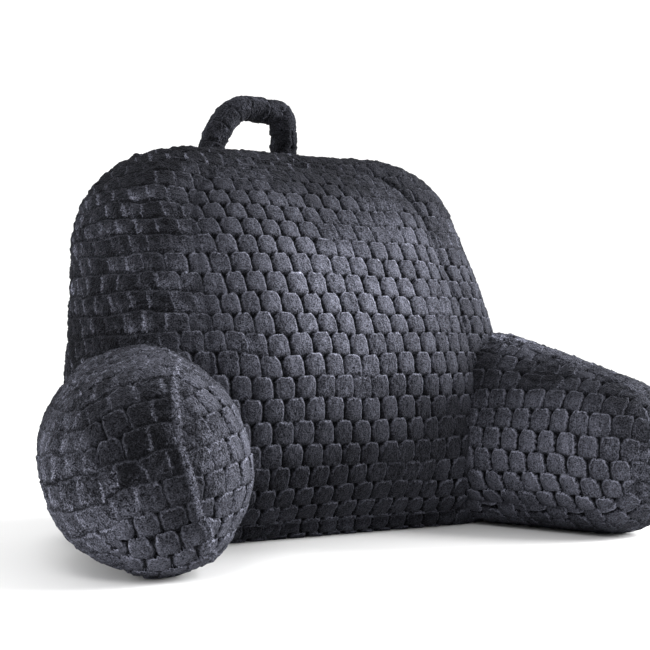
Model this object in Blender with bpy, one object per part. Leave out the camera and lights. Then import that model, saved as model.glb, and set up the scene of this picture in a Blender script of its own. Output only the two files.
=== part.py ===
"""A reading pillow with arms, in metres, +Z up, standing on z = 0 and facing -Y.

It is made as a maker sews it: a stuffed back cushion, two stuffed arms that grow out of its
lower corners, and a padded carry handle on the top back edge. Each cushion is two crowned
panels joined by a bulging boxing strip, drawn in along both seams. Its plush is sculpted into
staggered cells, which stand up from the surface as low six-sided lumps.
"""

import math

import bmesh
import bpy
import numpy as np
from mathutils import geometry

# The cloth
CELL = 0.025                   # pitch of the plush cells along a row
ROW = 0.025                    # distance from one row of cells to the next
CELL_RISE = 0.003              # how far a cell's middle stands above its corners
SEAM_MARGIN = 0.45             # cell points keep this share of a cell away from a seam
SEAM_STEP = 0.018              # spacing of the points along a seam
SEAM_SAMPLES = 4               # a panel's crown measures its seam this finely between points
NEAREST = 1e-6                 # least distance from the seam that it reckons with
NUDGE = 1e-4                   # how far either side of a point its surface's slope is taken
SAME_POINT = 1e-5              # points this close are one point
ARC_POINTS = 13                # points round each eased corner
CLEARANCE = 0.00042            # how far the sewn pieces are cut back from the back cushion

# The back cushion
BACK_TOP = 0.446               # height of the seams along the top edge
BACK_FOOT = 0.018              # height of the seams along the bottom edge
BACK_HALF_TOP = 0.1605         # half the front panel's width at the top
BACK_HALF_FOOT = 0.191         # half its width at the bottom
BACK_TOP_RADII = (0.076, 0.108)  # the stuffing is slumped on its left
BACK_FOOT_RADIUS = 0.042
REAR_SPREAD = 1.053            # the rear panel's width over the front panel's
FRONT_Y = -0.050               # y of the front seam where it stands upright
FRONT_LEAN = 0.99              # how it leans back above that: times the rise, to the power below
FRONT_LEAN_FROM = 0.183        # the height where it starts to
FRONT_LEAN_POWER = 1.5
FOOT_CURL = 2.6                # how it curls back under: times the square of the drop
FOOT_CURL_FROM = 0.11          # the height where it starts to
REAR_AT_FOOT = 0.1785          # y of the rear seam at floor level
REAR_LEAN = 0.146              # how far it leans back for each metre up
REAR_CURL = 0.23               # how it curls forward: times the square of the rise
REAR_CURL_FROM = 0.25          # the height where it starts to
FRONT_CROWN = 0.033            # how far the stuffed panels stand out
REAR_CROWN = 0.031
SIDE_BULGE = 0.0985            # how far the boxing strip bulges at mid height
SIDE_BULGE_TAPER = 0.0145      # how much more it bulges at the foot, and less at the top
SIDE_BULGE_MIDDLE = 0.25       # the height where it is neither
TOP_BULGE = 0.0235
FOOT_BULGE = 0.0355            # flattened by the floor
BACK_CROWN_SHAPE = (1.77, 0.825)  # fullness of the panels: power and ease of their curve
BACK_BULGE_EASE = 0.57         # 0.5 bulges as an ellipse, more draws the strip in at its seams

# The arms
ARM_LENGTH = 0.238             # from the root's middle to the seam at the nose
ARM_REACH_BACK = 0.040         # how far the arm runs back past that point
ARM_FOOT = 0.022
ARM_NOSE_RADIUS = 0.072
ARM_ROOT_TOP_RADIUS = 0.047
ARM_ROOT_FOOT_RADIUS = 0.055
ARM_STRIP = 0.102              # width of the strip between the two D-shaped panels
ARM_INNER_CROWN = 0.043
ARM_OUTER_CROWN = 0.054
ARM_BULGE = 0.013
ARM_FOOT_BULGE = 0.020
ARM_UNDERSIDE = -0.5           # the strip faces down where its normal's z is below this
ARM_CROWN_SHAPE = (1.6, 0.83)
ARM_BULGE_EASE = 0.6
ARM_ROLL_HEIGHT = 0.1          # the height that an arm leans outwards about
ARM_SPLAY = math.radians(19.5) # the arms open towards the front
ARM_ROOT_X = 0.239             # where the root's middle stands
ARM_ROOT_Y = -0.0115

# Each arm: its name, its side of the cushion, its heights at the root and the nose, and its
# lean outwards
ARMS = (
    ("arm_left", -1, 0.212, 0.184, math.radians(16)),
    ("arm_right", 1, 0.242, 0.152, math.radians(13)),
)

# The carry handle: the middle of its strap, from foot to foot, as x and z
HANDLE_ROUTE = (
    (-0.057, 0.425),
    (-0.054, 0.470),
    (-0.040, 0.510),
    (-0.015, 0.537),
    (0.024, 0.540),
    (0.050, 0.536),
    (0.057, 0.510),
    (0.055, 0.470),
    (0.054, 0.425),
)
HANDLE_Y = 0.2115
HANDLE_THICK = 0.028
HANDLE_WIDE = 0.040
HANDLE_SMOOTHNESS = 4          # steps between the route's points, and round a quarter of the tube

SLATE = (0.055, 0.058, 0.078, 1.0)
SLATE_DEEP = (0.040, 0.042, 0.058, 1.0)


def rounded_outline(corners, radii, step):
    """Points about a step apart round a polygon whose corners are eased into arcs."""
    path = []
    for index, corner in enumerate(corners):
        corner = np.array(corner)
        back = np.array(corners[index - 1]) - corner
        ahead = np.array(corners[(index + 1) % len(corners)]) - corner
        back /= np.linalg.norm(back)
        ahead /= np.linalg.norm(ahead)
        half = math.acos(max(-1.0, min(1.0, back @ ahead))) / 2
        setback = radii[index] / math.tan(half) if radii[index] else 0.0
        weight = math.sin(half)
        for share in np.linspace(0, 1, ARC_POINTS) if setback else (0.5,):
            pulls = ((1 - share) ** 2, 2 * share * (1 - share) * weight, share ** 2)
            ends = (corner + back * setback, corner, corner + ahead * setback)
            path.append(sum(p * e for p, e in zip(pulls, ends)) / sum(pulls))
    path.append(path[0])
    path = np.array(path)
    run = np.r_[0, np.cumsum(np.hypot(*np.diff(path, axis=0).T))]
    stops = np.linspace(0, run[-1], round(run[-1] / step) + 1)
    return np.c_[np.interp(stops, run, path[:, 0]), np.interp(stops, run, path[:, 1])]


def lengths_along(path):
    """How far along a path each of its points lies."""
    return np.r_[0, np.cumsum(np.hypot(*np.diff(path, axis=0).T))]


class Cushion:
    """A stuffed cushion in its own frame: two crowned panels, in the planes of its x and z,
    and the boxing strip that joins them along y. Outlines start and end at one point."""

    def __init__(self, outline, rear_spread, depths, crowns, crown_shape, bulge, bulge_ease):
        self.front = outline
        self.rear = outline * (rear_spread, 1.0)
        self.front_depth, self.rear_depth = depths
        self.front_crown, self.rear_crown = crowns
        self.crown_shape = crown_shape
        self.bulge_ease = bulge_ease
        self.middle = (outline.min(axis=0) + outline.max(axis=0)) / 2
        ahead = np.roll(outline[:-1], -1, axis=0) - np.roll(outline[:-1], 1, axis=0)
        normals = np.c_[ahead[:, 1], -ahead[:, 0]] / np.linalg.norm(ahead, axis=1)[:, None]
        self.normals = np.r_[normals, normals[:1]]
        self.bulges = np.array([bulge(normal, z) for normal, z in zip(self.normals, outline[:, 1])])
        self.run = lengths_along(outline + self.normals * self.bulges[:, None])
        half = (self.rear_depth(self.rear[:, 1]) - self.front_depth(outline[:, 1])) / 2
        out = self.bulges
        self.widths = math.pi / 2 * (3 * (half + out) - np.sqrt((3 * half + out) * (half + 3 * out)))

    def panel(self, outline, depth, crown):
        """The place on a crowned panel of a point of its flat pattern."""
        shares = np.arange(SEAM_SAMPLES)[:, None, None] / SEAM_SAMPLES
        seam = (outline[:-1] + np.diff(outline, axis=0) * shares).reshape(-1, 2)
        steps = np.tile(np.hypot(*np.diff(outline, axis=0).T) / SEAM_SAMPLES, SEAM_SAMPLES)
        power, ease = self.crown_shape

        def from_seam(point):
            """The distance to the seam, eased so that it has no ridge where two sides are as near."""
            distances = np.maximum(np.hypot(*(seam - point).T), NEAREST)
            return (2 / (steps / distances ** 3).sum()) ** 0.5

        most = from_seam(self.middle)

        def place(point):
            share = min(from_seam(point) / most, 1.0)
            out = crown * (1 - (1 - share) ** power) ** ease
            return np.array((point[0], depth(point[1]) + out, point[1]))

        return place

    def along(self, values, run):
        """Values held at the outline's points, read at a run along the strip."""
        return np.array([np.interp(run, self.run, column) for column in values.T])

    def strip(self, point):
        """The place on the boxing strip of a point of its flat pattern, which measures the run
        along the seams and the way across, from the middle of the strip."""
        run, across = point
        front = self.along(self.front, run)
        rear = self.along(self.rear, run)
        turn = math.pi * min(max(across / np.interp(run, self.run, self.widths) + 0.5, 0.0), 1.0)
        share = (1 - math.cos(turn)) / 2
        out = np.interp(run, self.run, self.bulges) * math.sin(turn) ** (2 * self.bulge_ease)
        x, z = front * (1 - share) + rear * share + self.along(self.normals, run) * out
        start = self.front_depth(front[1])
        return np.array((x, start + (self.rear_depth(rear[1]) - start) * share, z))


def cell_points(low, high):
    """Middles and corners of the staggered cells over a rectangle: each point, and its rise."""
    for row in range(math.floor(low[1] / ROW) - 1, math.ceil(high[1] / ROW) + 2):
        for column in range(math.floor(low[0] / CELL) - 1, math.ceil(high[0] / CELL) + 2):
            middle = np.array(((column + 0.5 * (row % 2)) * CELL, row * ROW))
            yield middle, 1.0
            yield middle + (CELL / 2, ROW / 3), 0.0
            yield middle + (CELL / 2, -ROW / 3), 0.0


def well_inside(point, border):
    """Whether a point is inside a closed border and well clear of it."""
    ahead = np.roll(border, -1, axis=0)
    side = ahead - border
    share = ((point - border) * side).sum(axis=1) / (side ** 2).sum(axis=1)
    nearest = border + side * np.clip(share, 0, 1)[:, None]
    if np.hypot(*(nearest - point).T).min() < SEAM_MARGIN * CELL:
        return False
    crosses = (border[:, 1] > point[1]) != (ahead[:, 1] > point[1])
    at = border[crosses, 0] + side[crosses, 0] * (point[1] - border[crosses, 1]) / side[crosses, 1]
    return (at > point[0]).sum() % 2 == 1


def lay_panel(mesh, place, border, centre):
    """Adds one cut panel to a mesh: its flat pattern filled with cells, then put in place."""
    points = [(point, 0.0) for point in border]
    for point, rise in cell_points(border.min(axis=0), border.max(axis=0)):
        if well_inside(point, border):
            points.append((point, rise))
    flat = [point for point, _ in points]
    triangles = geometry.delaunay_2d_cdt(flat, [], [list(range(len(border)))], 1, NEAREST)[2]
    corners = []
    for point, rise in points:
        here = place(point)
        if rise:
            normal = np.cross(
                place(point + (NUDGE, 0)) - place(point - (NUDGE, 0)),
                place(point + (0, NUDGE)) - place(point - (0, NUDGE)),
            )
            normal *= math.copysign(1 / np.linalg.norm(normal), normal @ (here - centre))
            here = here + normal * CELL_RISE * rise
        corners.append(mesh.verts.new(here))
    for triangle in triangles:
        mesh.faces.new([corners[i] for i in triangle])


def sewn(cushion):
    """The cushion's closed mesh: both panels and the strip, joined along their seams."""
    mesh = bmesh.new()
    depths = (cushion.front_depth(cushion.middle[1]), cushion.rear_depth(cushion.middle[1]))
    centre = np.array((cushion.middle[0], sum(depths) / 2, cushion.middle[1]))
    for outline, depth, crown in (
        (cushion.front, cushion.front_depth, -cushion.front_crown),
        (cushion.rear, cushion.rear_depth, cushion.rear_crown),
    ):
        lay_panel(mesh, cushion.panel(outline, depth, crown), outline[:-1], centre)
    half = cushion.widths[0] / 2
    across = np.linspace(-half, half, round(2 * half / SEAM_STEP) + 1)[1:-1]
    border = np.vstack((
        np.c_[cushion.run, -cushion.widths / 2],
        np.c_[np.full(len(across), cushion.run[-1]), across],
        np.c_[cushion.run, cushion.widths / 2][::-1],
        np.c_[np.zeros(len(across)), across[::-1]],
    ))
    lay_panel(mesh, cushion.strip, border, centre)
    bmesh.ops.remove_doubles(mesh, verts=mesh.verts, dist=SAME_POINT)
    bmesh.ops.recalc_face_normals(mesh, faces=mesh.faces)
    return mesh


def rest_on_floor(mesh):
    """Flattens whatever would sink below the floor."""
    for point in mesh.verts:
        point.co.z = max(point.co.z, 0.0)


def plush(name, colour, roughness=0.95):
    material = bpy.data.materials.new(name)
    material.use_nodes = True
    shader = material.node_tree.nodes["Principled BSDF"]
    shader.inputs["Base Color"].default_value = colour
    shader.inputs["Roughness"].default_value = roughness
    shader.inputs["Metallic"].default_value = 0.0
    return material


def new_object(name, mesh, collection, material=None):
    data = bpy.data.meshes.new(name)
    mesh.to_mesh(data)
    mesh.free()
    data.shade_smooth()
    piece = bpy.data.objects.new(name, data)
    collection.objects.link(piece)
    if material:
        data.materials.append(material)
    return piece


def front_depth(z):
    """The y of the back cushion's front seam at a height: upright, then leaning back."""
    lean = FRONT_LEAN * np.maximum(z - FRONT_LEAN_FROM, 0) ** FRONT_LEAN_POWER
    return FRONT_Y + lean + FOOT_CURL * np.maximum(FOOT_CURL_FROM - z, 0) ** 2


def rear_depth(z):
    """The y of its rear seam at a height."""
    return REAR_AT_FOOT + REAR_LEAN * z - REAR_CURL * np.maximum(z - REAR_CURL_FROM, 0) ** 2


def back_cushion():
    outline = rounded_outline(
        (
            (0.0, BACK_FOOT),
            (BACK_HALF_FOOT, BACK_FOOT),
            (BACK_HALF_TOP, BACK_TOP),
            (-BACK_HALF_TOP, BACK_TOP),
            (-BACK_HALF_FOOT, BACK_FOOT),
        ),
        (0.0, BACK_FOOT_RADIUS, *BACK_TOP_RADII, BACK_FOOT_RADIUS),
        SEAM_STEP,
    )

    def bulge(normal, z):
        side = SIDE_BULGE + SIDE_BULGE_TAPER * (1 - z / SIDE_BULGE_MIDDLE)
        ends = TOP_BULGE if normal[1] > 0 else FOOT_BULGE
        return normal[0] ** 2 * side + normal[1] ** 2 * ends

    cushion = Cushion(
        outline,
        REAR_SPREAD,
        (front_depth, rear_depth),
        (FRONT_CROWN, REAR_CROWN),
        BACK_CROWN_SHAPE,
        bulge,
        BACK_BULGE_EASE,
    )
    mesh = sewn(cushion)
    rest_on_floor(mesh)
    return mesh


def arm(side, root_height, nose_height, roll):
    """One arm in its own frame: x runs forward along it, and its outer panel is at side * y."""
    outline = rounded_outline(
        (
            (ARM_LENGTH / 3, ARM_FOOT),
            (ARM_LENGTH, ARM_FOOT),
            (ARM_LENGTH, nose_height),
            (-ARM_REACH_BACK, root_height),
            (-ARM_REACH_BACK, ARM_FOOT),
        ),
        (0.0, ARM_NOSE_RADIUS, ARM_NOSE_RADIUS, ARM_ROOT_TOP_RADIUS, ARM_ROOT_FOOT_RADIUS),
        SEAM_STEP,
    )
    cushion = Cushion(
        outline,
        1.0,
        (lambda z: -ARM_STRIP / 2, lambda z: ARM_STRIP / 2),
        (ARM_INNER_CROWN, ARM_OUTER_CROWN),
        ARM_CROWN_SHAPE,
        lambda normal, z: ARM_FOOT_BULGE if normal[1] < ARM_UNDERSIDE else ARM_BULGE,
        ARM_BULGE_EASE,
    )
    mesh = sewn(cushion)
    for point in mesh.verts:
        _, across, z = point.co
        z -= ARM_ROLL_HEIGHT
        point.co.y = side * (across * math.cos(roll) + z * math.sin(roll))
        point.co.z = ARM_ROLL_HEIGHT - across * math.sin(roll) + z * math.cos(roll)
    if side < 0:
        bmesh.ops.reverse_faces(mesh, faces=mesh.faces)
    rest_on_floor(mesh)
    return mesh


def handle(collection, material):
    """The carry handle: a stuffed tube bent into an arch, wider from front to back."""
    curve = bpy.data.curves.new("carry_handle", "CURVE")
    curve.dimensions = "3D"
    curve.bevel_depth = HANDLE_THICK / 2
    curve.bevel_resolution = HANDLE_SMOOTHNESS
    curve.resolution_u = HANDLE_SMOOTHNESS
    curve.use_fill_caps = True
    spline = curve.splines.new("BEZIER")
    spline.bezier_points.add(len(HANDLE_ROUTE) - 1)
    for point, (x, z) in zip(spline.bezier_points, HANDLE_ROUTE):
        point.co = (x, 0.0, z)
        point.handle_left_type = "AUTO"
        point.handle_right_type = "AUTO"
    path = bpy.data.objects.new("handle_path", curve)
    collection.objects.link(path)
    evaluated = path.evaluated_get(bpy.context.evaluated_depsgraph_get())
    mesh = bmesh.new()
    mesh.from_mesh(bpy.data.meshes.new_from_object(evaluated))
    bpy.data.objects.remove(path)
    bmesh.ops.remove_doubles(mesh, verts=mesh.verts, dist=SAME_POINT)
    for point in mesh.verts:
        point.co.y *= HANDLE_WIDE / HANDLE_THICK
    piece = new_object("carry_handle", mesh, collection, material)
    piece.location.y = HANDLE_Y
    return piece


def cut_clear(piece, cutter):
    cut = piece.modifiers.new("Sewn edge", "BOOLEAN")
    cut.operation = "DIFFERENCE"
    cut.solver = "EXACT"
    cut.object = cutter


def main():
    for old in list(bpy.data.objects):
        bpy.data.objects.remove(old)
    parts = bpy.data.collections.new("Reading pillow")
    cutters = bpy.data.collections.new("Cutters")
    bpy.context.scene.collection.children.link(parts)
    bpy.context.scene.collection.children.link(cutters)
    slate = plush("Slate plush", SLATE)
    deep = plush("Slate plush strap", SLATE_DEEP)

    body = back_cushion()
    around = body.copy()
    around.normal_update()
    for point in around.verts:
        point.co += point.normal * CLEARANCE
    cutter = new_object("around_back_cushion", around, cutters)
    cutter.hide_render = True
    cutter.display_type = "WIRE"
    new_object("back_cushion", body, parts, slate)

    for name, side, root_height, nose_height, roll in ARMS:
        piece = new_object(name, arm(side, root_height, nose_height, roll), parts, slate)
        piece.location = (side * ARM_ROOT_X, ARM_ROOT_Y, 0.0)
        piece.rotation_euler.z = -math.pi / 2 + side * ARM_SPLAY
        cut_clear(piece, cutter)
    cut_clear(handle(parts, deep), cutter)


main()
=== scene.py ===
"""The looks of the reading pillow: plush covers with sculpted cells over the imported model.

Each stuffed piece is laid out as the cloth it is cut from, two panels and the strip between
them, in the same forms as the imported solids. Every point of the cloth knows where it lies in the
repeat of staggered cells, which gives the pile its height there, and how far from a seam it is.
"""

import math
from functools import partialmethod

import bpy
import numpy as np
from mathutils import Matrix, Vector, geometry
from mathutils.bvhtree import BVHTree
from mathutils.kdtree import KDTree


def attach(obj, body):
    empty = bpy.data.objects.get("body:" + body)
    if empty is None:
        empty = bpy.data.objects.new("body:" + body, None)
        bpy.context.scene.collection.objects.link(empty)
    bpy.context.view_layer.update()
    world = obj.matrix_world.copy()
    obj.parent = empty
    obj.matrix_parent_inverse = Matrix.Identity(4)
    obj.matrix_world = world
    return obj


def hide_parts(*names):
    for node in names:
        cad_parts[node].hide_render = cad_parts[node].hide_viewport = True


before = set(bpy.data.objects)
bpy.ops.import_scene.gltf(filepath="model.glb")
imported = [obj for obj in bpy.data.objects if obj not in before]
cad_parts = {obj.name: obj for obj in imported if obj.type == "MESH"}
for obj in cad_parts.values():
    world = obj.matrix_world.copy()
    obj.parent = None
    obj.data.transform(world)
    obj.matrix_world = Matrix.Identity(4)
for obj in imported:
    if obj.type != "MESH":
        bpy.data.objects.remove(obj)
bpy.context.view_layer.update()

# The forms, in metres, as the solids have them
BACK_TOP = 0.446
BACK_FOOT = 0.018
BACK_HALF_TOP = 0.1605
BACK_HALF_FOOT = 0.191
BACK_RADII = (0.0, 0.042, 0.076, 0.108, 0.042)
REAR_SPREAD = 1.053
FRONT_Y = -0.050
FRONT_LEAN = 0.99
FRONT_LEAN_FROM = 0.183
FRONT_LEAN_POWER = 1.5
FOOT_CURL = 2.6
FOOT_CURL_FROM = 0.11
REAR_AT_FOOT = 0.1785
REAR_LEAN = 0.146
REAR_CURL = 0.23
REAR_CURL_FROM = 0.25
FRONT_CROWN = 0.033
REAR_CROWN = 0.031
SIDE_BULGE = 0.0985
SIDE_BULGE_TAPER = 0.0145
SIDE_BULGE_MIDDLE = 0.25
TOP_BULGE = 0.0235
FOOT_BULGE = 0.0355
BACK_CROWN_SHAPE = (1.77, 0.825)
BACK_BULGE_EASE = 0.57
ARM_LENGTH = 0.238
ARM_REACH_BACK = 0.040
ARM_FOOT = 0.022
ARM_RADII = (0.0, 0.072, 0.072, 0.047, 0.055)
ARM_STRIP = 0.102
ARM_INNER_CROWN = 0.043
ARM_OUTER_CROWN = 0.054
ARM_BULGE = 0.013
ARM_FOOT_BULGE = 0.020
ARM_UNDERSIDE = -0.5
ARM_CROWN_SHAPE = (1.6, 0.83)
ARM_BULGE_EASE = 0.6
ARM_ROLL_HEIGHT = 0.1
ARM_SPLAY = math.radians(19.5)
ARM_ROOT_X = 0.239
ARM_ROOT_Y = -0.0115
ARMS = (
    ("arm_left", -1, 0.212, 0.184, math.radians(16)),
    ("arm_right", 1, 0.242, 0.152, math.radians(13)),
)
HANDLE_ROUTE = (
    (-0.057, 0.425),
    (-0.054, 0.470),
    (-0.040, 0.510),
    (-0.015, 0.537),
    (0.024, 0.540),
    (0.050, 0.536),
    (0.057, 0.510),
    (0.055, 0.470),
    (0.054, 0.425),
)
HANDLE_Y = 0.2115
HANDLE_THICK = 0.028
HANDLE_WIDE = 0.040
ARC_POINTS = 13  # points on a rounded corner
TURN_STEPS = 48  # steps across a strip, from seam to seam
LENGTH_STEPS = 60  # steps across a panel, along which its cloth is measured

# The plush, in metres, and shares where no unit is given
CELL = 0.0247  # pitch of the cells along a row
ROW = 0.025  # from one row to the next
FRONT_PHASE = (0.15, 0.31)  # where the front's middle lies in the repeat, in cells
PILE = 0.0042  # how far a cell's top stands above the grooves
CRUSHED_PILE = 0.62  # the share of that which is left where the pile is crushed
GROOVE = 0.0006  # how far the grooves lie below the solids' face
GAP = 0.0022  # how much deeper the open corners between cells are
SEAM_DEPTH = 0.0012  # how deep the seams draw the cloth in
SEAM_REACH = (0.001, 0.005)  # how far from the seam the pile sets in and is full
SEAM_EASE = 0.040  # how far from a seam the stuffing rounds the cloth
EASE_FROM = 0.008  # and how far from it that starts to fade
EASE_ROUNDS = 60  # how often the cloth is smoothed for it
EASE_HEIGHTS = (0.025, 0.06)  # it fades out from the upper to the lower height, near the floor
LEFT_FROM = (0.1, 0.16)  # how far left of the middle the creases kept there set in and are full
RIDGE = 0.0040  # how high the tufted seam of the near arm stands
RIDGE_INSET = 0.029  # how far round the strip that seam has rolled at the nose
RIDGE_TURNS = (0.25, 0.42)  # the run along the strip over which it goes back to its border
GAP_TO_BACK = 0.0006  # the sewn pieces stay this far off the back cushion
FACE = 0.056  # how pale the face of a cell is
GROOVE_SHADE = 0.003  # how pale the pile is down in the grooves, painted shade
LIP_SHEEN = 0.110  # how much paler a painted sheen makes the pressed sides where the pile is crushed
RIM_HIGHLIGHT = 0.190  # how much paler the painted highlight makes the tips along a cell's upper edge
RIGHT_EDGE_HIGHLIGHT = 0.45  # the share of that painted highlight along its right edge
FRAY = 0.22  # how far the pile's clumps fray a cell's outline, in cells
CRUSHED_FRAY = 1.7  # how many times as far where the pile is crushed
FRINGE_REACH = 0.12  # how far its fringe frays it up and down, in cells
BRUSHED_SHEEN = (0.45, 1.35)  # how pale the nap is, brushed away from the light and towards it, as painted sheen
DARKEST = 0.002
TINT = (0.97, 1.0, 1.26, 1.0)
BUMP_DEPTH = 0.0013
PLUSH_SHADER = {
    "Roughness": 0.9,
    "Sheen Weight": 0.055,
    "Sheen Roughness": 0.4,
    "Sheen Tint": (0.8, 0.83, 1.0, 1.0),
    "Specular IOR Level": 0.03,
}

# Noises of the pile, as (features per metre, octaves)
FIBRES = (700.0, 3.0)
CLUMPS = (360.0, 2.0)
LOOSE_CLUMPS = (260.0, 2.0)
TUFTS = (190.0, 3.0)
MOTTLE = (85.0, 3.0)
PATCHES = (34.0, 2.0)
# And noises that are drawn out, as features per cell, across and along
FRINGE = (16.0, 2.5)
STREAKS = (7.0, 2.2)
STROKES = (5.0, 0.6)

# A cell in units of the pitch: its outline's corners on one side, the other is the same
CELL_TOP = 0.54
CELL_TOP_HALF = 0.23
BROW = (0.36, 0.42)
SHOULDER = (0.46, 0.16)
CELL_SIDE = 0.46
CORNER = (0.46, -0.42)
CELL_FOOT = -0.55
CELL_FOOT_HALF = 0.33
CLOSED = 0.12  # how much the sides close up where the pile is crushed
SQUARED = 0.13  # and how much more the corners do
ROWS_APART = 0.065  # how far apart the rows lie there
OWN_CELLS = 61  # after so many cells their small differences repeat

# How the plush wanders over the cloth: sums of noises, each as (strength, further strength where
# the pile is crushed, size, number)
PATTERN_WANDER = (
    ((0.10, 0.0, 0.055, 0), (0.0, 0.13, 0.02, 7)),
    ((0.10, 0.0, 0.055, 1), (0.0, 0.13, 0.02, 8)),
)
LUMPS = ((0.0005, 0.0, 0.0045, 2), (0.00035, 0.0006, 0.0032, 3), (0.0, 0.0013, 0.009, 9))
NAP_WANDER = ((0.16, 0.0, 0.06, 4), (0.08, 0.14, 0.022, 5))
CRUSHED_WANDER = ((0.28, 0.0, 0.045, 6),)
SEAM_WANDER = ((0.5, 0.0, 0.008, 10),)
NAP_AND_LIGHT_RANGE = (0.25, 2.2)
NOISE_CELLS = 32  # after so many of its sizes a noise repeats

# Spacing of the meshes' points
SAME_PLACE = 2e-5  # border points this near each other are joined
CLEAR_OF_BORDER = 0.6  # a panel's points keep this share of a step off its border
BACK_STEP = 0.0024
FRONT_STEP = 0.0016
STRIP_STEP = 0.0024
REAR_STEP = 0.0026
ARM_STEP = 0.0016
ARM_OUTER_STEP = 1.3 * ARM_STEP
HANDLE_STEP = 0.0015
FLOOR_LIFT = 0.0002  # the cloth lies this far above the floor

# The light and the camera
ROOM_LIGHT = 0.6  # the light that comes from in front
BACKDROP_LIGHT = 1.15  # and from the pale backdrop behind
FLOOR_GLOW = 0.3  # the floor's own light far away
FLOOR_GLOW_FROM = (0.4, 2.4)  # where it sets in and where it is full
FLOOR_SHADER = {
    "Base Color": (0.82, 0.82, 0.82, 1.0),
    "Emission Color": (1.0, 1.0, 1.0, 1.0),
    "Roughness": 0.8,
    "Specular IOR Level": 0.2,
}
LAMP_SIZE = 0.9
LAMP_TARGET = (0.0, 0.0, 0.2)
LAMPS = (
    ("key", (2.17, -0.58, 0.68), 150.0),
    ("fill", (1.44, -1.21, 1.52), 45.0),
    ("kicker", (-1.13, -1.35, 1.68), 20.0),
    ("rear kicker", (-2.1, 0.77, 0.68), 25.0),
)
CAMERA_PLACE = (-0.8012, -1.3414, 0.2172)
CAMERA_TURN = math.radians(-30.741)
CAMERA_PITCH = math.radians(-1.114)
CAMERA_LENS = 72.52

STRAP_BRIGHTNESS = 0.3  # the handle's plush against the cushions'
BACK_SEED = 11
ARM_SEED = 31
HANDLE_SEED = 51

# What a cushion's panels are called by number
FRONT, REAR, STRIP = range(3)


def face_of(upper, lower):
    """The direction in which the line between two corners of a cell faces outwards."""
    along = np.array(upper) - np.array(lower)
    return np.array((along[1], -along[0])) / np.hypot(*along)


# The slanting lines of a cell's outline, each as a corner on it and the way it faces
SLANTS = (
    (BROW, face_of((CELL_TOP_HALF, CELL_TOP), BROW)),
    (SHOULDER, face_of(BROW, SHOULDER)),
    (CORNER, face_of(CORNER, (CELL_FOOT_HALF, CELL_FOOT))),
)


def rounded_outline(corners, radii, step):
    """Points about a step apart round a polygon whose corners are eased into arcs."""
    path = []
    for index, corner in enumerate(corners):
        corner = np.array(corner)
        back = np.array(corners[index - 1]) - corner
        ahead = np.array(corners[(index + 1) % len(corners)]) - corner
        back /= np.linalg.norm(back)
        ahead /= np.linalg.norm(ahead)
        half = math.acos(max(-1.0, min(1.0, back @ ahead))) / 2
        setback = radii[index] / math.tan(half) if radii[index] else 0.0
        weight = math.sin(half)
        for share in np.linspace(0, 1, ARC_POINTS) if setback else (0.5,):
            pulls = ((1 - share) ** 2, 2 * share * (1 - share) * weight, share ** 2)
            ends = (corner + back * setback, corner, corner + ahead * setback)
            path.append(sum(p * e for p, e in zip(pulls, ends)) / sum(pulls))
    path.append(path[0])
    path = np.array(path)
    run = lengths_along(path)
    stops = np.linspace(0, run[-1], round(run[-1] / step) + 1)
    return np.c_[np.interp(stops, run, path[:, 0]), np.interp(stops, run, path[:, 1])]


def lengths_along(path):
    return np.r_[0, np.cumsum(np.hypot(*np.diff(path, axis=0).T))]


def smooth_step(values, low, high):
    share = np.clip((values - low) / (high - low), 0, 1)
    return share * share * (3 - 2 * share)


def soft_noise(points, size, seed):
    """Smooth noise from -1 to 1 that varies over about a size, at each row of points."""
    lattice = np.random.default_rng(seed).uniform(-1, 1, (NOISE_CELLS,) * 3)
    scaled = np.asarray(points) / size + 1000.0
    cell = np.floor(scaled).astype(int)
    share = smooth_step(scaled, cell, cell + 1)
    total = np.zeros(len(scaled))
    for corner in np.ndindex(2, 2, 2):
        weight = np.where(corner, share, 1 - share)
        weight = weight[:, 0] * weight[:, 1] * weight[:, 2]
        total += weight * lattice[tuple(((cell + corner) % NOISE_CELLS).T)]
    return total * 1.6


def wander(points, noises, seed, crushed=0.0):
    """The sum of some noises at each point."""
    return sum(
        (strength + further * crushed) * soft_noise(points, size, seed + number)
        for strength, further, size, number in noises
    )


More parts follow.
